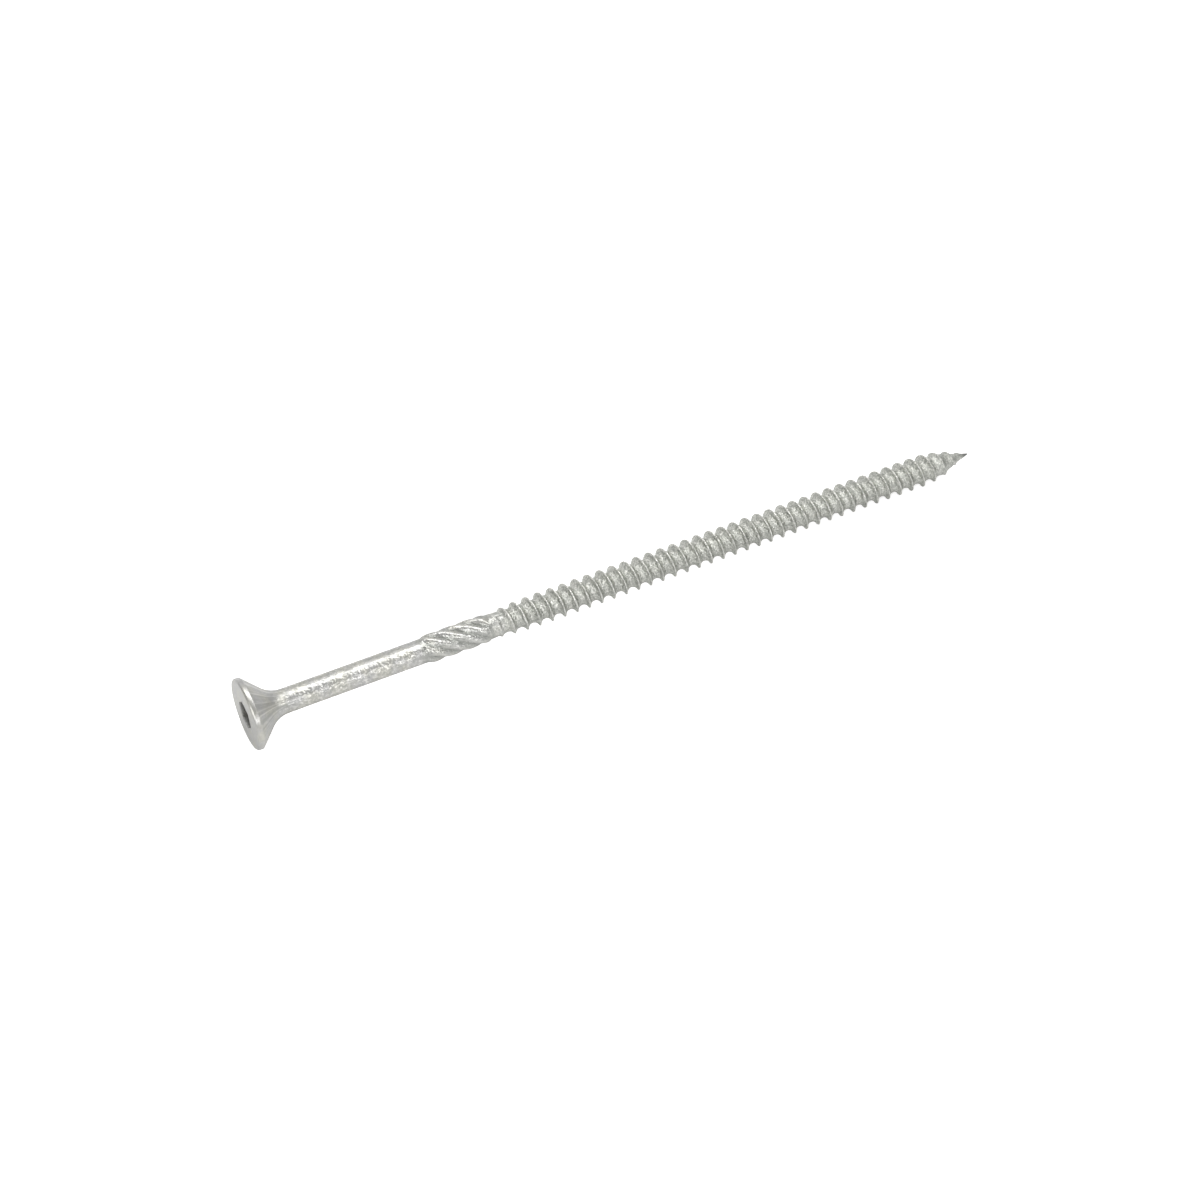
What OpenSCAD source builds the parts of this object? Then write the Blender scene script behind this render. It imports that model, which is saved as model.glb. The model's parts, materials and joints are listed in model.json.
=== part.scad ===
// Bugle batten screw, lying on its side on the plane Z = 0 with its head at -X.
// It rests on the band of its head and on one of its last threads, as a dropped screw does,
// so its axis leans down a little towards the tip. The origin is the middle of its base.

/* [Screw] */
// Length from the face of the head to the tip
screw_length = 150; // [100:5:200]
// Diameter of the plain shank and of the neck before the thread
shank_d = 4.7; // [4.4:0.05:5.2]
// Length from the face of the head to the ribs
plain_length = 35; // [15:0.2:60]

/* [Head] */
// Diameter of the head
head_d = 13.7; // [12:0.1:15]
// Height of the band round the head, with its rounded edge
band_h = 1.1; // [0.9:0.05:1.6]
// Radius of the rounded edge between the face and the band
edge_r = 0.45; // [0.2:0.05:0.85]
// Angle from the axis to the cone under the band
cone_angle = 45; // [40:1:52]
// Radius of the hollow curve that leads the cone into the shank
flare_r = 5; // [3:0.25:7]

/* [Drive socket] */
// Width across the flats of the hexagon socket
socket_af = 5; // [4:0.1:5.5]
// Depth of the socket's flat walls
socket_depth = 4; // [2.5:0.1:4.5]
// Angle from the axis to the socket's pointed floor
socket_floor_angle = 60; // [50:1:75]
// Turn of the hexagon about the axis
socket_turn = 36; // [0:1:59]

/* [Ribs] */
// Length of the ribbed stretch
rib_length = 13; // [8:0.5:20]
// Number of ribs round the shank
rib_count = 6; // [4:1:10]
// Diameter over the ribs
rib_d = 5.4; // [5.2:0.05:6]
// Diameter at the bottom of the grooves between the ribs
groove_d = 4.4; // [4:0.05:4.7]
// Length in which a rib makes one full turn
rib_lead = 21.6; // [12:0.2:50]
// Length over which the ribs fade out at each end
rib_fade = 1.4; // [0.8:0.1:3]
// Turn of the ribs about the axis
rib_turn = 4; // [0:1:90]

/* [Thread] */
// Length of the neck between the ribs and the thread
neck_length = 0.6; // [0.4:0.1:4]
// Diameter over the thread
thread_d = 6.2; // [5.6:0.1:7]
// Diameter at the bottom of the thread
root_d = 4.2; // [3.6:0.1:4.6]
// Distance from one turn to the next
pitch = 2.54; // [2:0.02:4]
// Width of the flat on the thread's crest
crest_w = 0.22; // [0.1:0.02:0.5]
// Angle of the thread's flanks from square to the axis
flank_angle = 27; // [15:1:32]
// Share of the thread's depth that the hollow of its root takes
root_hollow = 0.12; // [0.04:0.02:0.3]
// Length over which the thread grows out of the neck
run_in = 12; // [4:0.5:20]
// Length over which the neck narrows to the root
neck_taper = 2; // [1:0.1:4]
// Turn of the thread's start about the axis
thread_turn = 180; // [0:15:345]

/* [Point] */
// Length over which the thread narrows to the tip
point_length = 11.5; // [7:0.5:16]
// Length of the core's cone at the tip
core_cone = 6.6; // [4:0.2:9]
// Radius of the core where the cone stops short of the tip
tip_r = 0.08; // [0.04:0.02:0.2]
// Length of the cutting flute beside the point, with its ramp
flute_length = 6; // [5:0.2:14]
// Angle between the two walls of the flute
flute_angle = 95; // [80:1:120]
// Distance from the axis to the corner between those walls
flute_core = 0.3; // [0.1:0.05:0.6]
// Angle from the axis to the ramp that ends the flute
flute_ramp = 45; // [30:1:70]
// Turn of the flute about the axis
flute_turn = 305; // [0:5:355]

/* [Hidden] */
$fn = 72;

zinc = [0.74, 0.74, 0.72];
head_r = head_d / 2;
shank_r = shank_d / 2;
thread_r = thread_d / 2;
root_r = root_d / 2;

// places along the axis, counted from the face of the head
neck_z = plain_length + rib_length;
thread_z = neck_z + neck_length;

// the rolled stretches end inside the plain ones, a hair thinner than they are
seat_gap = 0.02;
seat_r = shank_r - seat_gap;
seat_depth = neck_length / 4;
seat_step = neck_length / 20;

// how far a cutter runs past the surface that it cuts
overcut = 1;

// how finely curves are cut into steps
edge_steps = 8;
flare_steps = 18;
rib_facets = 8;
rib_columns = rib_facets * rib_count;
rib_rings = 16;
turn_steps = 24;

// centre and start of the hollow curve under the head
flare_z = band_h + (flare_r - (shank_r + flare_r - head_r) * cos(cone_angle)) / sin(cone_angle);

// the thread's section, as distance along the axis from its crest and share of its depth
ridge_half = crest_w / 2 + (1 - root_hollow) * (thread_r - root_r) * tan(flank_angle);
thread_section = [
    [-ridge_half, root_hollow],
    [-crest_w / 2, 1],
    [crest_w / 2, 1],
    [ridge_half, root_hollow],
    [pitch / 2, 0]
];
section_size = len(thread_section);
first_crest_z = thread_z + seat_step + ridge_half;
tip_gap = 2 * tip_r;
thread_steps = floor((screw_length - tip_gap - pitch / 2 - first_crest_z) * turn_steps / pitch);

// the lean that brings the head's band and the lowest crest down to the floor together
low_turns = [1 - thread_turn / 360 : 1 : thread_steps / turn_steps];
lean = min([for (turn = low_turns) let (z = first_crest_z + pitch * turn + crest_w / 2)
    atan2(head_r - crest_radius(z), z - band_h)]);
face_height = band_h * sin(lean) + head_r * cos(lean);
face_x = (edge_r * (1 - cos(lean)) + (head_r - edge_r) * sin(lean) - screw_length * cos(lean)) / 2;

function unit(x) = max(0, min(1, x));

// 0 to 1, steep at first and level at the end
function ease(x, power = 2) = 1 - pow(1 - unit(x), power);

function core_radius(z) =
    tip_r + (root_r - tip_r) * unit((screw_length - z) / core_cone)
    + (seat_r - root_r) * (1 - ease((z - thread_z) / neck_taper));

function crest_radius(z) = min(
    seat_r + (thread_r - seat_r) * ease((z - thread_z) / run_in, 3),
    tip_r + (thread_r - tip_r) * ease((screw_length - z) / point_length));

function on_ring(radius, angle, z) = [radius * cos(angle), radius * sin(angle), z];

function thread_point(step, offset, share) =
    let (z = first_crest_z + pitch * step / turn_steps + offset,
         fade = unit(2 * (thread_steps - step) / turn_steps),
         depth = crest_radius(z) - core_radius(z))
    on_ring(core_radius(z) + fade * share * depth, thread_turn + 360 * step / turn_steps, z);

function rib_radius(column, z) =
    let (fade = ease((z - plain_length) / rib_fade) * ease((neck_z - z) / rib_fade),
         bulge = abs(sin(180 * column / rib_facets)))
    seat_r + fade * (groove_d / 2 + bulge * (rib_d - groove_d) / 2 - seat_r);

// two triangles for the four corners of a skin's cell
function cell(a, b, c, d) = [[a, b, d], [b, c, d]];

function fan(pivot, rim) = [for (i = [0 : len(rim) - 2]) [pivot, rim[i], rim[i + 1]]];

// Head and plain shank, turned in one: flat face, rounded edge, band, cone, hollow flare.
module turned_blank() {
    edge = [for (i = [0 : edge_steps]) let (a = 90 * i / edge_steps)
        [head_r - edge_r + edge_r * sin(a), edge_r - edge_r * cos(a)]];
    flare = [for (i = [0 : flare_steps]) let (a = cone_angle * (1 - i / flare_steps))
        [shank_r + flare_r - flare_r * cos(a), flare_z - flare_r * sin(a)]];
    shank_end = plain_length - seat_step;
    rotate_extrude()
        polygon(concat([[0, 0]], edge, [[head_r, band_h]], flare, [[shank_r, shank_end], [0, shank_end]]));
}

// Hexagon socket with a pointed floor.
module drive_socket() {
    rotate([0, 0, socket_turn]) {
        translate([0, 0, -overcut])
            cylinder(r = socket_af / 2 / cos(30), h = socket_depth + overcut, $fn = 6);
        translate([0, 0, socket_depth])
            cylinder(r1 = socket_af / 2, r2 = 0, h = socket_af / 2 / tan(socket_floor_angle));
    }
}

// Rope-like ribs that wind steeply round the shank and ease the thread's way into the timber.
module ribs() {
    rings = concat([plain_length - seat_depth],
        [for (i = [0 : rib_rings]) plain_length + rib_length * i / rib_rings],
        [neck_z + seat_depth]);
    last = len(rings) - 1;
    points = [for (z = rings) for (column = [0 : rib_columns - 1])
        on_ring(rib_radius(column, z),
            rib_turn + 360 * (column / rib_columns + (z - plain_length) / rib_lead), z)];
    skin = [for (i = [0 : last - 1]) for (c = [0 : rib_columns - 1])
        let (a = i * rib_columns, b = a + rib_columns, d = (c + 1) % rib_columns)
        each cell(a + c, b + c, b + d, a + d)];
    foot = [for (c = [0 : rib_columns - 1]) c];
    top = [for (c = [0 : rib_columns - 1]) last * rib_columns + rib_columns - 1 - c];
    polyhedron(points, concat(skin, [foot, top]));
}

// Short plain neck between the ribs and the thread.
module neck() {
    translate([0, 0, neck_z + seat_step]) cylinder(r = shank_r, h = neck_length - 2 * seat_step);
}

// Right-hand thread and its core in one skin, from the neck to the tip. Two rings start it
// inside the neck, and each cell then lies between one step of the helix and the next.
module thread() {
    function ring(row, step) = row * turn_steps + step % turn_steps;
    function at(step, p) = 2 * turn_steps + step * section_size + p;
    last_p = section_size - 1;
    apex = at(thread_steps + 1, 0);
    end = thread_steps - turn_steps;

    points = concat(
        [for (z = [thread_z - seat_depth, thread_z]) for (step = [0 : turn_steps - 1])
            on_ring(seat_r, thread_turn + 360 * step / turn_steps, z)],
        [for (step = [0 : thread_steps]) for (p = thread_section) thread_point(step, p[0], p[1])],
        [[0, 0, screw_length]]);

    foot = [for (step = [0 : turn_steps - 1]) ring(0, step)];
    collar = [for (step = [0 : turn_steps - 1])
        each cell(ring(0, step), ring(1, step), ring(1, step + 1), ring(0, step + 1))];
    lead = [for (step = [0 : turn_steps - 2])
        each cell(ring(1, step), at(step, 0), at(step + 1, 0), ring(1, step + 1))];
    lead_seam = fan(at(turn_steps - 1, 0), concat([at(turn_steps, 0)],
        [for (p = [last_p : -1 : 0]) at(0, p)], [ring(1, 0), ring(1, turn_steps - 1)]));
    ridge = [for (step = [0 : thread_steps - 1]) for (p = [0 : last_p - 1])
        each cell(at(step, p), at(step, p + 1), at(step + 1, p + 1), at(step + 1, p))];
    root = [for (step = [0 : end - 1])
        each cell(at(step, last_p), at(step + turn_steps, 0), at(step + turn_steps + 1, 0), at(step + 1, last_p))];
    tip = [for (step = [end + 1 : thread_steps - 1]) [at(step, last_p), apex, at(step + 1, last_p)]];
    tip_seam = fan(at(end + 1, last_p), concat([at(end, last_p)],
        [for (p = [0 : last_p]) at(thread_steps, p)], [apex]));

    polyhedron(points, concat([foot], collar, lead, lead_seam, ridge, root, tip, tip_seam));
}

// Cutting flute beside the point: two flat walls that meet near the axis, ended by a flat ramp.
module flute() {
    reach = 2 * thread_r;
    wall_y = reach * tan(flute_angle / 2);
    rotate([0, 0, flute_turn]) intersection() {
        translate([flute_core, 0, screw_length - flute_length])
            linear_extrude(flute_length + overcut)
                polygon([[0, 0], [reach, -wall_y], [reach, wall_y]]);
        translate([thread_r, 0, screw_length - flute_length]) rotate([0, -flute_ramp, 0])
            translate([0, -wall_y, -flute_length])
                cube([2 * flute_length, 2 * wall_y, 4 * flute_length]);
    }
}

module screw() {
    color(zinc) translate([face_x, 0, face_height]) rotate([0, 90 + lean, 0]) {
        difference() {
            turned_blank();
            drive_socket();
        }
        ribs();
        neck();
        difference() {
            thread();
            flute();
        }
    }
}

screw();
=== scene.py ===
import json
from math import asin, atan2, cos, floor, hypot, pi, radians, sin, tan

import bmesh
import bpy
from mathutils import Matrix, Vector, noise


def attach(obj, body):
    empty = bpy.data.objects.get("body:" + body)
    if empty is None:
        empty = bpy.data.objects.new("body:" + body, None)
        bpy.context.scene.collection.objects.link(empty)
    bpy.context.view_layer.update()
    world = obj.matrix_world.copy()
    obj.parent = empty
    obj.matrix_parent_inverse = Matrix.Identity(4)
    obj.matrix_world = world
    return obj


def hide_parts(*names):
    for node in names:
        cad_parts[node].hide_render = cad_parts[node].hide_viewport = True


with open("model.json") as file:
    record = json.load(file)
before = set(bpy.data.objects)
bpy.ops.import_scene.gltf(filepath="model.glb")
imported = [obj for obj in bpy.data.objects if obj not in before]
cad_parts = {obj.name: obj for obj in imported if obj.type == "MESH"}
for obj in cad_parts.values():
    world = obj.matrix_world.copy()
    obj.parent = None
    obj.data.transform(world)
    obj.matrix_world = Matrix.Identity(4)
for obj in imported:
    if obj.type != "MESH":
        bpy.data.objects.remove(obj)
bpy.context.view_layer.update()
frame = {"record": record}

# Blank and head
# The screw starts as a length of steel wire. One end is struck into a flat face with a rounded
# edge, a short band and a trumpet-shaped underside. It is modelled upright, standing on its face.
mm = 0.001
weld = 0.0005 * mm
columns = 96
column_turn = 2 * pi / columns
mounts = {mount["name"]: mount for mount in frame["record"]["mounts"]}
head_r = mounts["bugle_seat"]["dims"]["r_mm"] * mm
edge_r = 0.45 * mm
band_h = 1.1 * mm
heel_r = 0.15 * mm
cone_angle = 45
flare_r = 5 * mm
shank_r = 2.35 * mm
plain_length = 35 * mm
rib_length = 13 * mm
neck_length = 0.6 * mm
socket_af = 2 * mounts["drive_socket"]["dims"]["r_mm"] * mm
mouth_ring_r = 0.66 * socket_af
ring_step = 0.3 * mm


def arc(centre, radius, start, end, steps):
    """Points of radius and height along an arc, between two angles in degrees."""
    angles = [radians(start + (end - start) * i / steps) for i in range(steps + 1)]
    return [(centre[0] + radius * cos(a), centre[1] + radius * sin(a)) for a in angles]


def stretch(start, end, step):
    """Points between two others, about a step apart, without the two themselves."""
    count = max(1, round(hypot(end[0] - start[0], end[1] - start[1]) / step))
    shares = [i / count for i in range(1, count)]
    return [tuple(a + (b - a) * share for a, b in zip(start, end)) for share in shares]


def draw_chain(name, places):
    """New object: a chain of edges from place to place, extruded from a single vertex."""
    bpy.ops.object.select_all(action="DESELECT")
    bpy.ops.mesh.primitive_plane_add(size=mm)
    piece = bpy.context.object
    piece.name = name
    places = [Vector(place) for place in places]
    bpy.ops.object.mode_set(mode="EDIT")
    bpy.ops.mesh.select_mode(type="VERT")
    bpy.ops.mesh.merge(type="CENTER")
    bpy.ops.transform.translate(value=places[0])
    for here, there in zip(places, places[1:]):
        bpy.ops.mesh.extrude_vertices_move(TRANSFORM_OT_translate={"value": there - here})
    bpy.ops.object.mode_set(mode="OBJECT")
    return piece


def pick(piece):
    """Makes a piece the active one, and the only one that is selected."""
    bpy.ops.object.select_all(action="DESELECT")
    piece.select_set(True)
    bpy.context.view_layer.objects.active = piece


def tidy_mesh(piece):
    """Welds the vertices that meet and turns all faces outwards."""
    pick(piece)
    bpy.ops.object.mode_set(mode="EDIT")
    bpy.ops.mesh.select_all(action="SELECT")
    bpy.ops.mesh.remove_doubles(threshold=weld)
    bpy.ops.mesh.normals_make_consistent(inside=False)
    bpy.ops.object.mode_set(mode="OBJECT")


def reshape(piece, rule):
    """Moves every vertex to the radius, angle and height that a rule gives for its own."""
    for vertex in piece.data.vertices:
        x, y, z = vertex.co
        radius, angle, z = rule(hypot(x, y), atan2(y, x), z)
        vertex.co = (radius * cos(angle), radius * sin(angle), z)


cone = radians(cone_angle)
flare_inset = shank_r + flare_r - head_r
flare_z = band_h + (flare_r - flare_inset * cos(cone)) / sin(cone)
heel_z = band_h - heel_r * tan(cone / 2)
face_edge = arc((head_r - edge_r, edge_r), edge_r, -90, 0, steps=6)
heel = arc((head_r - heel_r, heel_z), heel_r, 0, cone_angle, steps=3)
flare = arc((shank_r + flare_r, flare_z), flare_r, 180 + cone_angle, 180, steps=16)
mouth_ring = (mouth_ring_r, 0)
shank_end = (shank_r, plain_length + rib_length + neck_length / 2)
outline = [mouth_ring, *stretch(mouth_ring, face_edge[0], 3 * ring_step), *face_edge]
outline += [*stretch(face_edge[-1], heel[0], ring_step), *heel]
outline += [*stretch(heel[-1], flare[0], 2 * ring_step), *flare]
outline += [*stretch(flare[-1], shank_end, ring_step), shank_end]
screw = draw_chain("zinc_coated_screw", [(r, 0, z) for r, z in outline])
bpy.ops.object.mode_set(mode="EDIT")
bpy.ops.mesh.select_all(action="SELECT")
bpy.ops.mesh.spin(steps=columns, angle=2 * pi, center=(0, 0, 0), axis=(0, 0, 1))
bpy.ops.object.mode_set(mode="OBJECT")
tidy_mesh(screw)

# Drive socket
# A hexagon punch leaves a socket of flat walls in the face, with a slightly rounded mouth and a
# pointed floor. The ring left open in the face is drawn in to the hexagon and pushed down.
socket_depth = mounts["drive_socket"]["dims"]["length_mm"] * mm
socket_turn = radians(36)
socket_floor_angle = 60
mouth_round = 0.12 * mm
mouth_steps = 3
wall_rings = (0.4, 0.7, 1.0)
floor_rings = (0.98, 0.7, 0.4, 0.15)
floor_point = 0.9
side_turn = radians(60)
corner_shift = socket_turn - round(socket_turn / column_turn) * column_turn


def hexagon_r(angle):
    """Distance from the axis to the hexagon's side in a direction."""
    return socket_af / 2 / cos((angle - socket_turn) % side_turn - side_turn / 2)


def push_ring(radius_of, z, turn=0.0):
    """Extrudes the open ring and sets the new one to a radius for each angle, at a height."""
    bpy.ops.mesh.extrude_edges_move()
    mesh = bmesh.from_edit_mesh(screw.data)
    for vertex in [v for v in mesh.verts if v.select]:
        angle = atan2(vertex.co.y, vertex.co.x) + turn
        radius = radius_of(angle)
        vertex.co = (radius * cos(angle), radius * sin(angle), z)
    bmesh.update_edit_mesh(screw.data)


bpy.ops.object.mode_set(mode="EDIT")
bpy.ops.mesh.select_mode(type="EDGE")
bpy.ops.mesh.select_all(action="DESELECT")
mesh = bmesh.from_edit_mesh(screw.data)
for edge in mesh.edges:
    edge.select = edge.is_boundary and all(abs(v.co.z) < weld for v in edge.verts)
bmesh.update_edit_mesh(screw.data)
for step in range(mouth_steps + 1):
    slope = radians(90 * step / mouth_steps)
    gap = mouth_round * (1 - sin(slope))
    drop = mouth_round * (1 - cos(slope))
    push_ring(lambda angle: hexagon_r(angle) + gap, drop, corner_shift if step == 0 else 0.0)
for share in wall_rings:
    push_ring(hexagon_r, mouth_round + (socket_depth - mouth_round) * share)
floor_drop = socket_af / 2 / tan(radians(socket_floor_angle))
for share in floor_rings:
    push_ring(lambda angle: share * socket_af / 2, socket_depth + (1 - share) * floor_drop)
floor_end = (0, 0, socket_depth + floor_point * floor_drop)
bpy.ops.mesh.extrude_edges_move()
bpy.ops.transform.resize(value=(0, 0, 0), center_override=floor_end)
bpy.ops.object.mode_set(mode="OBJECT")
tidy_mesh(screw)

# Ribs
# Six rounded ribs are rolled round the end of the shank, as steep as the strands of a rope.
# They ream the timber for the plain shank. The rings of the mesh are turned to lie along them.
rib_count = 6
rib_r = 2.7 * mm
groove_r = 2.2 * mm
rib_lead = 21.6 * mm
rib_fade = 1.4 * mm
rib_turn = radians(4)
groove_round = 0.02
groove_shift = rib_turn - round(rib_turn / column_turn) * column_turn
neck_z = plain_length + rib_length


def unit(x):
    """A number kept between 0 and 1."""
    return max(0.0, min(1.0, x))


def ease(x, power=2):
    """0 to 1, steep at first and level at the end."""
    return 1 - (1 - unit(x)) ** power


def raise_ribs(radius, angle, z):
    """Where a point of the plain shank comes to lie once the ribs are rolled."""
    rolled = unit((z - plain_length) / rib_length)
    fade = ease((z - plain_length) / rib_fade) * ease((neck_z - z) / rib_fade)
    wave = sin(rib_count / 2 * (angle + groove_shift - rib_turn))
    bulge = (wave * wave + groove_round) ** 0.5
    target = groove_r + bulge * (rib_r - groove_r)
    turn = groove_shift * unit(z / plain_length) + 2 * pi * rolled * rib_length / rib_lead
    return radius + fade * (target - radius), angle + turn, z


reshape(screw, raise_ribs)

# Thread
# A single right-hand thread is rolled into the wire between flat dies, with a narrow crest and a
# hollow root. It grows out of the neck and runs down to the tip, where the core narrows to a cone.
screw_length = 150 * mm
thread_r = mounts["thread"]["dims"]["r_mm"] * mm
root_r = 2.1 * mm
pitch = 2.54 * mm
crest_w = 0.24 * mm
crest_drop = 0.035 * mm
flank_angle = 27
root_fillet = 1.0 * mm
run_in = 12 * mm
neck_taper = 2 * mm
thread_turn = radians(180)
first_crest = 0.59 * mm
point_length = 11.5 * mm
core_cone = 6.6 * mm
tip_r = 0.08 * mm
thread_z = neck_z + neck_length
first_crest_z = thread_z + first_crest
start_z = thread_z - neck_length / 5


def core_r(z):
    """Radius of the core, from the neck to the tip."""
    narrowed = tip_r + (root_r - tip_r) * unit((screw_length - z) / core_cone)
    return narrowed + (shank_r - root_r) * (1 - ease((z - thread_z) / neck_taper))


def crest_r(z):
    """Radius over the thread, from the neck to the tip."""
    grown = shank_r + (thread_r - shank_r) * ease((z - thread_z) / run_in, 3)
    pointed = tip_r + (thread_r - tip_r) * ease((screw_length - z) / point_length)
    return min(grown, pointed)


def taper_thread(radius, angle, z):
    """Where a point of the full thread comes to lie between the core and the crest."""
    share = (radius - root_r) / (thread_r - root_r)
    fade = unit((screw_length - pitch / 2 - z) / (pitch / 2))
    if radius < root_r / 2:
        return radius, angle, z
    return core_r(z) + fade * share * (crest_r(z) - core_r(z)), angle, z


# The section runs from the foot of one turn's fillet to the same point a pitch further on.
foot = 3
flank_foot = crest_w / 2 + (thread_r - root_r) * tan(radians(flank_angle))
fillet_z = flank_foot + root_fillet * tan(radians(45 - flank_angle / 2))
fillet = arc((root_r + root_fillet, -fillet_z), root_fillet, 180, 90 + flank_angle, steps=5)
shoulder = (thread_r - crest_drop, -crest_w / 2 - crest_drop * tan(radians(flank_angle)))
rise = [*fillet, shoulder, (thread_r, -crest_w / 4)]
fall = [(r, -z) for r, z in reversed(rise)]
section = [*rise[foot:], *fall, (root_r, pitch / 2)]
section += [(r, pitch + z) for r, z in rise[:foot + 1]]
section_end = section[-1][1]
turns = floor((screw_length - 2 * tip_r - first_crest_z - section_end) * columns / pitch) / columns
toward_x = cos(thread_turn)
toward_y = sin(thread_turn)
thread = draw_chain("thread", [(r * toward_x, r * toward_y, first_crest_z + z) for r, z in section])
helix = thread.modifiers.new("helix", "SCREW")
helix.axis = "Z"
helix.angle = 2 * pi * turns
helix.screw_offset = pitch * turns
helix.iterations = 1
helix.steps = round(columns * turns)
helix.render_steps = helix.steps
bpy.ops.object.modifier_apply(modifier=helix.name)
tidy_mesh(thread)


def select_end(piece, low):
    """Selects the open edge that winds round the first or the last turn of the thread."""
    bpy.ops.mesh.select_all(action="DESELECT")
    mesh = bmesh.from_edit_mesh(piece.data)
    middle = first_crest_z + pitch * turns / 2
    for edge in mesh.edges:
        a, b = (v.co for v in edge.verts)
        across = a.x * b.y - a.y * b.x
        if edge.is_boundary and abs(across) > weld * root_r and (a.z < middle) == low:
            edge.select = True
    bmesh.update_edit_mesh(piece.data)


bpy.ops.object.mode_set(mode="EDIT")
bpy.ops.mesh.select_mode(type="EDGE")
select_end(thread, low=True)
bpy.ops.mesh.extrude_edges_move()
bpy.ops.transform.resize(value=(1, 1, 0), center_override=(0, 0, start_z))
select_end(thread, low=False)
bpy.ops.mesh.extrude_edges_move()
bpy.ops.transform.resize(value=(0, 0, 0), center_override=(0, 0, screw_length))
bpy.ops.mesh.select_all(action="SELECT")
bpy.ops.mesh.remove_doubles(threshold=weld)
bpy.ops.mesh.select_all(action="DESELECT")
mesh = bmesh.from_edit_mesh(thread.data)
for edge in mesh.edges:
    edge.select = edge.is_boundary and any(v.co.z > start_z + weld for v in edge.verts)
bmesh.update_edit_mesh(thread.data)
bpy.ops.mesh.fill_holes(sides=0)
bpy.ops.object.mode_set(mode="OBJECT")
reshape(thread, taper_thread)

pick(screw)
thread.select_set(True)
bpy.ops.object.join()
bpy.ops.object.mode_set(mode="EDIT")
bpy.ops.mesh.select_mode(type="EDGE")
bpy.ops.mesh.select_all(action="DESELECT")
bpy.ops.mesh.select_non_manifold()
bpy.ops.mesh.bridge_edge_loops()
bpy.ops.object.mode_set(mode="OBJECT")
tidy_mesh(screw)

# Cutting flute
# A notch with two flat walls is cut beside the point, so that it drills its own hole. It ends in a
# flat ramp a few turns up. Its cutter is a wedge, cut off at the ramp and turned into place.
flute_length = 6 * mm
flute_angle = 95
flute_core = 0.3 * mm
flute_ramp = radians(45)
flute_turn = radians(305)
wedge_reach = 2 * thread_r
wedge_half = wedge_reach * tan(radians(flute_angle / 2))
wedge_z = screw_length - 2 * flute_length
wedge_length = 3 * flute_length
wedge_corners = [(flute_core, 0), (wedge_reach, -wedge_half), (wedge_reach, wedge_half)]
cutter = draw_chain("flute_cutter", [(x, y, wedge_z) for x, y in wedge_corners])
bpy.ops.object.mode_set(mode="EDIT")
bpy.ops.mesh.select_all(action="SELECT")
bpy.ops.mesh.edge_face_add()
bpy.ops.mesh.extrude_region_move(TRANSFORM_OT_translate={"value": (0, 0, wedge_length)})
bpy.ops.mesh.select_all(action="SELECT")
bpy.ops.mesh.bisect(
    plane_co=(thread_r, 0, screw_length - flute_length),
    plane_no=(cos(flute_ramp), 0, sin(flute_ramp)),
    use_fill=True,
    clear_inner=True)
bpy.ops.object.mode_set(mode="OBJECT")
tidy_mesh(cutter)
cutter.rotation_euler.z = flute_turn
pick(screw)
notch = screw.modifiers.new("flute", "BOOLEAN")
notch.operation = "DIFFERENCE"
notch.solver = "EXACT"
notch.object = cutter
bpy.ops.object.modifier_apply(modifier=notch.name)
bpy.data.objects.remove(cutter)
tidy_mesh(screw)

# Zinc coat
# The finished screw is dipped in molten zinc, which sets uneven: smooth on the head, crinkled on
# the shank, and lumpy on the thread, where it rounds the roots and leaves the crests ragged.
head_smooth_z = 6 * mm
crinkle_z = 10 * mm
smooth_share = 0.2
lump_depth = 0.035 * mm
lump_size = 1.1 * mm
ragged_depth = 0.07 * mm
ragged_size = 2.3 * mm
tip_fade = 3 * mm
least_crest = 0.2 * mm
crease_angle = radians(38)


def thread_share(radius, z):
    """How high a point stands between the core and the crest of the thread, or of the ribs."""
    if z < plain_length:
        return 0.0
    if z < neck_z:
        return unit((radius - groove_r) / (rib_r - groove_r))
    return unit((radius - core_r(z)) / max(crest_r(z) - core_r(z), least_crest))


crest_share = screw.data.attributes.new("crest", "FLOAT", "POINT")
moves = []
for vertex in screw.data.vertices:
    place = vertex.co
    share = thread_share(hypot(place.x, place.y), place.z)
    crest_share.data[vertex.index].value = share
    lump = 0.5 + 0.5 * noise.noise(place / lump_size)
    ragged = 0.5 + 0.5 * noise.noise(place / ragged_size)
    below_head = unit((place.z - head_smooth_z) / (crinkle_z - head_smooth_z))
    lumpy = smooth_share + (1 - smooth_share) * below_head
    thin = unit((screw_length - place.z) / tip_fade)
    depth = thin * (lumpy * lump * lump_depth + share * ragged * ragged_depth * (place.z > neck_z))
    moves.append(place - vertex.normal * depth)
for vertex, place in zip(screw.data.vertices, moves):
    vertex.co = place

# It lies on the floor on the band of its head and on a thread near its point.
face_centre = Vector(mounts["drive_socket"]["pos_m"])
lean = asin(mounts["drive_socket"]["axis"][2])
pick(screw)
screw.location = face_centre
screw.rotation_euler = (0, pi / 2 + lean, 0)
bpy.ops.object.transform_apply(location=True, rotation=True, scale=False)
bpy.ops.object.shade_smooth_by_angle(angle=crease_angle)

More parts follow.
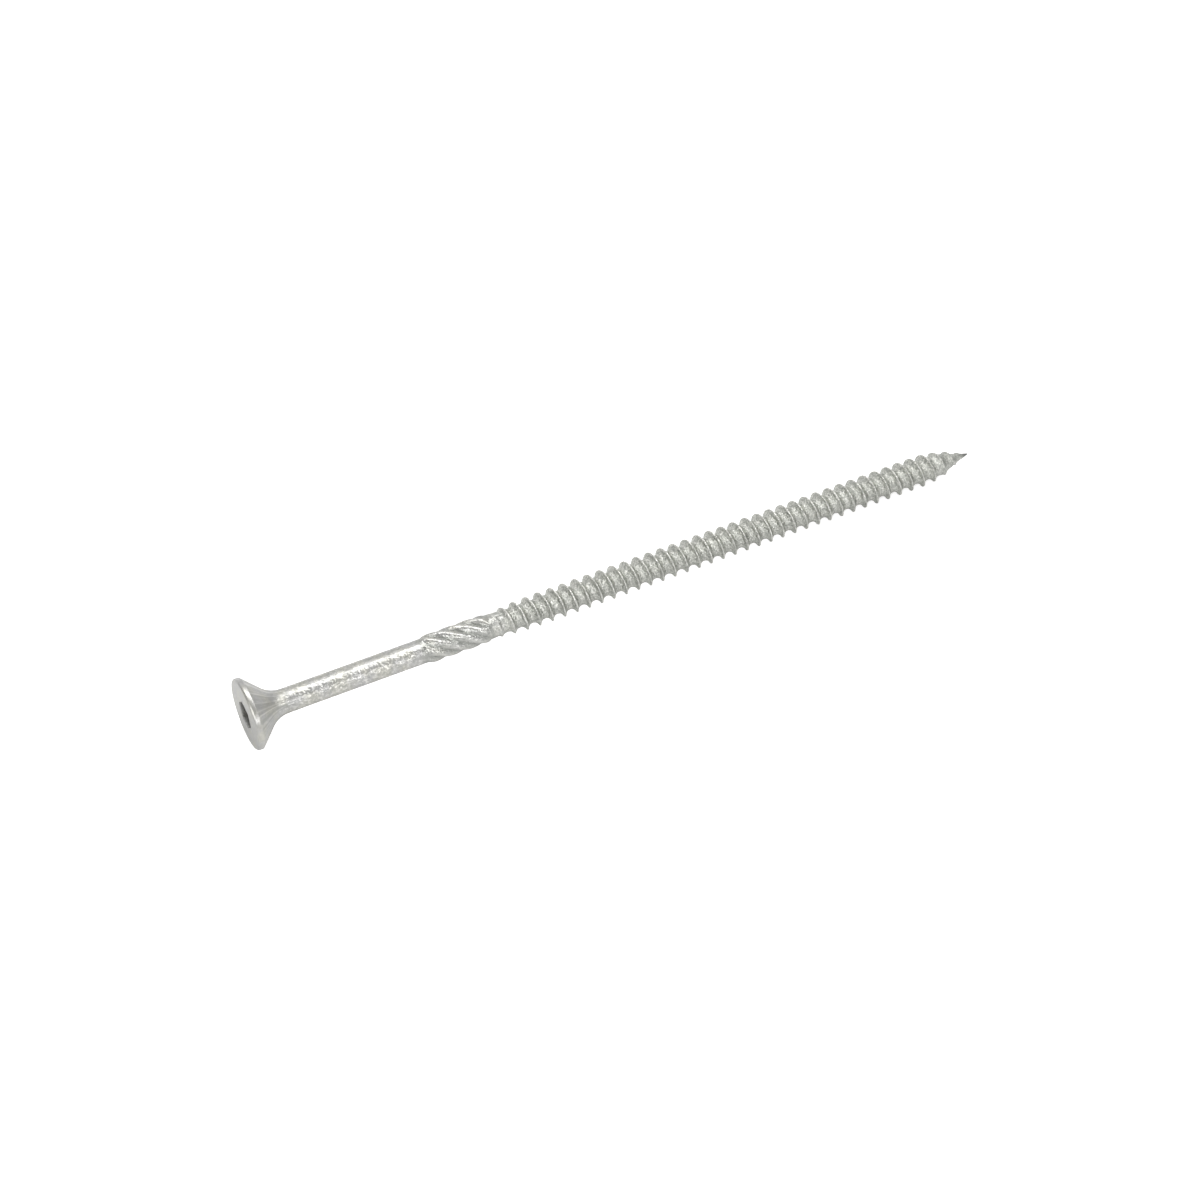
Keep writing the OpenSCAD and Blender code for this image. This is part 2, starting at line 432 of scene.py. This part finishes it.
# The zinc's colours and its places along the screw, in millimetres from the face of the head.
warm_zinc = (0.575, 0.565, 0.515, 1)
cool_zinc = (0.55, 0.545, 0.54, 1)
green_zinc = (0.58, 0.598, 0.538, 1)
# Bright zinc, also the colour of the painted highlights on the thread crests and the rib ridges.
bright_zinc_and_highlight = (0.79, 0.785, 0.745, 1)
# Dull zinc, also the colour of the painted shade on the front side, in the rib grooves and towards the
# point.
dull_zinc_and_shade = (0.36, 0.368, 0.345, 1)
# Dark grey, for the painted shade in the socket and for the darker very end of the tip.
dark_grey = (0.10, 0.10, 0.10, 1)
band_end = band_h / mm
bugle_middle = 4.66
bugle_end = 6.9
ribs_start = plain_length / mm
ribs_end = neck_z / mm
tip_end = screw_length / mm
socket_end = socket_depth / mm
socket_corner = hexagon_r(socket_turn) / mm
coarse_relief = 0.24 * mm
fine_relief = 0.01 * mm
zinc = bpy.data.materials.new("galvanised_zinc")
zinc.use_nodes = True
nodes = zinc.node_tree.nodes
links = zinc.node_tree.links
shader = nodes["Principled BSDF"]
shader.inputs["Metallic"].default_value = 1.0


def feed(socket, value):
    """Links a value of the surface to a socket, or sets a constant on it."""
    if isinstance(value, bpy.types.NodeSocket):
        links.new(value, socket)
    else:
        socket.default_value = value


def add_node(kind, **inputs):
    """New node of the zinc, with its named inputs fed."""
    node = nodes.new(kind)
    for name, value in inputs.items():
        feed(node.inputs[name.replace("_", " ")], value)
    return node


def add_math(kind, operation, *values):
    """New node of the zinc that works out something from values of the surface."""
    node = nodes.new(kind)
    node.operation = operation
    for socket, value in zip(node.inputs, values):
        feed(socket, value)
    return node


def combine(operation, *values):
    """Values of the surface added, multiplied or the like, one after the other."""
    result = values[0]
    for value in values[1:]:
        result = add_math("ShaderNodeMath", operation, result, value).outputs["Value"]
    return result


def ramp(value, low, high, to_low=0.0, to_high=1.0):
    """A value of the surface, mapped from one range to another and kept inside it."""
    node = add_node(
        "ShaderNodeMapRange", Value=value, From_Min=low, From_Max=high, To_Min=to_low, To_Max=to_high)
    return node.outputs["Result"]


def patch(value, low, high, strength, where):
    """Mask on a part of the screw, from 0 to a strength as a value goes from low to high."""
    return combine("MULTIPLY", ramp(value, low, high, 0.0, strength), where)


def uneven(place, scale, detail, roughness=0.5, distortion=0.0):
    """An uneven pattern over the zinc, from noise."""
    node = add_node("ShaderNodeTexNoise", Vector=place, Scale=scale, Detail=detail)
    feed(node.inputs["Roughness"], roughness)
    feed(node.inputs["Distortion"], distortion)
    return node.outputs["Fac"]


def mix_colour(factor, first, second):
    """Two colours mixed by a mask."""
    node = nodes.new("ShaderNodeMix")
    node.data_type = "RGBA"
    sockets = {socket.identifier: socket for socket in [*node.inputs, *node.outputs]}
    feed(sockets["Factor_Float"], factor)
    feed(sockets["A_Color"], first)
    feed(sockets["B_Color"], second)
    return sockets["Result_Color"]


surface = nodes.new("ShaderNodeTexCoord").outputs["Object"]
in_mm = add_node("ShaderNodeMapping", Vector=surface, Scale=(1 / mm, 1 / mm, 1 / mm)).outputs["Vector"]
from_face = add_node("ShaderNodeMapping", Vector=in_mm, Location=-face_centre / mm).outputs["Vector"]
along, across, above = add_node("ShaderNodeSeparateXYZ", Vector=from_face).outputs
from_axis = combine("ADD", above, bugle_middle * tan(lean))
off_axis = add_node("ShaderNodeCombineXYZ", Y=across, Z=from_axis).outputs["Vector"]
outward = add_math("ShaderNodeVectorMath", "NORMALIZE", off_axis).outputs["Vector"]
reach = add_math("ShaderNodeVectorMath", "LENGTH", off_axis).outputs["Value"]
crest_node = nodes.new("ShaderNodeAttribute")
crest_node.attribute_name = "crest"
crest = crest_node.outputs["Fac"]

crinkle = uneven(in_mm, 1.6, 1.5, distortion=0.3)
grain = uneven(in_mm, 6.0, 2.0)
cloud = uneven(in_mm, 0.35, 2.0)
speckle = uneven(in_mm, 1.7, 2.5, roughness=0.6)
grit = uneven(in_mm, 3.2, 1.5, roughness=0.6)
streak = uneven(outward, 8.0, 3.0, roughness=0.6)
spangle = add_node("ShaderNodeTexVoronoi", Vector=in_mm, Scale=1.6).outputs["Distance"]

under_head = patch(along, band_end - 0.1, band_end + 0.3, 1.0, ramp(along, bugle_end + 4.0, bugle_end))
ribbed = patch(along, ribs_start - 1.1, ribs_start + 0.4, 1.0, ramp(along, ribs_end + 0.9, ribs_end - 0.6))
threaded = ramp(along, ribs_end - 1.1, ribs_end + 4.9)
gritty = combine("MAXIMUM", threaded, combine("MULTIPLY", ribbed, 0.7))
crinkled = combine(
    "SUBTRACT", ramp(along, bugle_end - 2.3, bugle_end + 1.0, 0.12, 0.86), combine("MULTIPLY", ribbed, 0.4))
face = ramp(along, edge_r / mm + 0.08, edge_r / mm - 0.17, 0.0, 0.22)
# Painted shade: the socket's walls near its corners are darkened.
painted_socket_shade = patch(
    reach, socket_corner + 0.06, socket_corner - 0.09, 0.36, ramp(along, socket_end + 1.9, socket_end + 0.4))
painted_socket_shade = combine("MULTIPLY", painted_socket_shade, ramp(along, -0.07, 0.28, 0.2, 1.0))
# Painted shade: the last turns before the tip are darkened.
painted_point_shade = ramp(along, tip_end - 9.1, tip_end - 4.1, 0.0, 0.45)
# The very end of the tip is darker.
tip = ramp(along, tip_end - 1.5, tip_end - 0.5, 0.0, 0.85)

# Each layer of the coat is a mask and the colour that it brings in over the layers before it. The front
# side, groove, point and socket layers are painted shade, and the crest and ridge layers are painted
# highlights.
greenish = combine("MULTIPLY", threaded, 0.8)
spangled = ramp(spangle, 0.1, 0.7, 0.0, 0.25)
dark_flecks = patch(speckle, 0.5, 0.66, 0.7, crinkled)
sparkles = patch(speckle, 0.46, 0.32, 0.9, crinkled)
dark_grit = patch(grit, 0.52, 0.62, 0.85, gritty)
light_grit = patch(grit, 0.46, 0.37, 0.9, gritty)
# Painted highlight: a bright line along the crests of the thread, broken up by the grit.
painted_crest_highlight = combine(
    "MULTIPLY", patch(crest, 0.82, 0.97, 0.9, threaded), ramp(grit, 0.58, 0.5, 0.25, 1.0))
# Painted shade: the front side of the thread and of the ribs is darkened.
painted_front_shade = combine(
    "ADD", patch(across, -0.5, -1.9, 0.3, threaded), patch(across, 0.2, -1.0, 0.42, ribbed))
# Painted shade: the grooves between the ribs are darkened.
painted_groove_shade = patch(crest, 0.6, 0.15, 1.0, ribbed)
# Painted highlight: the ridges of the ribs are lightened.
painted_ridge_highlight = patch(crest, 0.85, 1.0, 0.35, ribbed)
dull_streaks = patch(streak, 0.5, 0.65, 0.6, under_head)
bright_streaks = patch(streak, 0.45, 0.33, 0.8, under_head)
coat = mix_colour(ramp(cloud, 0.4, 0.6), warm_zinc, cool_zinc)
for mask, colour in (
        (greenish, green_zinc),
        (spangled, dull_zinc_and_shade),
        (dark_flecks, dull_zinc_and_shade),
        (sparkles, bright_zinc_and_highlight),
        (dark_grit, dull_zinc_and_shade),
        (light_grit, bright_zinc_and_highlight),
        (painted_crest_highlight, bright_zinc_and_highlight),
        (painted_front_shade, dull_zinc_and_shade),
        (painted_groove_shade, dull_zinc_and_shade),
        (painted_ridge_highlight, bright_zinc_and_highlight),
        (dull_streaks, dull_zinc_and_shade),
        (bright_streaks, bright_zinc_and_highlight),
        (face, dull_zinc_and_shade),
        (painted_socket_shade, dark_grey),
        (painted_point_shade, dull_zinc_and_shade),
        (tip, dark_grey)):
    coat = mix_colour(mask, coat, colour)
links.new(coat, shader.inputs["Base Color"])

# Grain makes the zinc satin. Thread and bugle are a little rougher; ribs, sparkles and the painted crest
# highlights smoother.
shiny = combine("MAXIMUM", painted_crest_highlight, sparkles)
roughness = combine(
    "ADD",
    ramp(grain, 0.3, 0.7, 0.29, 0.43),
    combine("MULTIPLY", threaded, 0.05),
    combine("MULTIPLY", ribbed, -0.05),
    combine("MULTIPLY", under_head, 0.07),
    combine("MULTIPLY", shiny, -0.15))
links.new(roughness, shader.inputs["Roughness"])

# The crinkle is deep on the front of the shank and shallow over its top, as the photo shows.
front = ramp(across, -1.4, 0.2, 1.0, 0.2)
relief = combine(
    "ADD",
    combine("MULTIPLY", crinkle, crinkled, front),
    combine("MULTIPLY", speckle, threaded, 1.2),
    combine("MULTIPLY", grit, gritty, 0.4))
coarse_bump = add_node("ShaderNodeBump", Strength=1.0, Distance=coarse_relief, Height=relief)
fine_bump = add_node(
    "ShaderNodeBump", Strength=0.4, Distance=fine_relief, Height=grain, Normal=coarse_bump.outputs["Normal"])
links.new(fine_bump.outputs["Normal"], shader.inputs["Normal"])
screw.data.materials.append(zinc)
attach(screw, "root")
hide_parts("screw")

# Floor
# The screw lies on a plain white sheet, wide enough to fill every view. To the camera alone the sheet
# also glows, so that it looks pure white and hardly shadowed, and the zinc still mirrors plain paper.
floor_size = 3.0
paper_white = (0.88, 0.88, 0.88, 1)
paper_glow = (0.6, 0.6, 0.6, 1)
bpy.ops.object.select_all(action="DESELECT")
bpy.ops.mesh.primitive_plane_add(size=floor_size)
sheet = bpy.context.object
sheet.name = "floor"
paper = bpy.data.materials.new("white_paper")
paper.use_nodes = True
sheet_shader = paper.node_tree.nodes["Principled BSDF"]
sheet_shader.inputs["Base Color"].default_value = paper_white
sheet_shader.inputs["Roughness"].default_value = 0.9
sheet_shader.inputs["Emission Color"].default_value = paper_glow
seen = paper.node_tree.nodes.new("ShaderNodeLightPath").outputs["Is Camera Ray"]
paper.node_tree.links.new(seen, sheet_shader.inputs["Emission Strength"])
sheet.data.materials.append(paper)

# Light and camera
# A long soft box hangs over the screw, a little behind it, in an evenly lit white room. Others stand
# in front, at the left and behind. The camera looks down on the screw from its head's side, through
# a long lens.
room_light = 0.47
scene = bpy.context.scene
world = bpy.data.worlds.new("room")
world.use_nodes = True
background = world.node_tree.nodes["Background"]
background.inputs["Color"].default_value = (1, 1, 1, 1)
background.inputs["Strength"].default_value = room_light
scene.world = world
scene.view_settings.view_transform = "Standard"


def soft_box(name, place, size, power):
    """Rectangular soft light that faces the screw."""
    bpy.ops.object.light_add(type="AREA", location=place)
    light = bpy.context.object
    light.name = name
    light.data.shape = "RECTANGLE"
    light.data.size, light.data.size_y = size
    light.data.energy = power
    light.rotation_euler = (-Vector(place)).to_track_quat("-Z", "Y").to_euler()


soft_box("overhead_box", place=(0.2, 0.18, 0.7), size=(1.2, 0.24), power=3.4)
soft_box("front_strip", place=(0.25, -0.9, 0.45), size=(1.2, 0.14), power=2.4)
soft_box("left_box", place=(-0.62, -0.5, 0.6), size=(1.0, 0.6), power=4.2)
soft_box("back_fill", place=(0.3, 1.2, 0.5), size=(2.4, 1.0), power=2.4)

view_azimuth = radians(-25.7648)
view_elevation = radians(52.2201)
view_distance = 609.09 * mm
view_target = Vector((-3.857, 0.107, 0.765)) * mm
focal_pixels = 3251.74
frame_pixels = 1200
back = Vector((
    sin(view_azimuth) * cos(view_elevation),
    -cos(view_azimuth) * cos(view_elevation),
    sin(view_elevation)))
bpy.ops.object.camera_add(location=view_target + view_distance * back)
camera = bpy.context.object
camera.rotation_euler = (-back).to_track_quat("-Z", "Y").to_euler()
camera.data.sensor_fit = "HORIZONTAL"
camera.data.lens = camera.data.sensor_width * focal_pixels / frame_pixels
scene.camera = camera
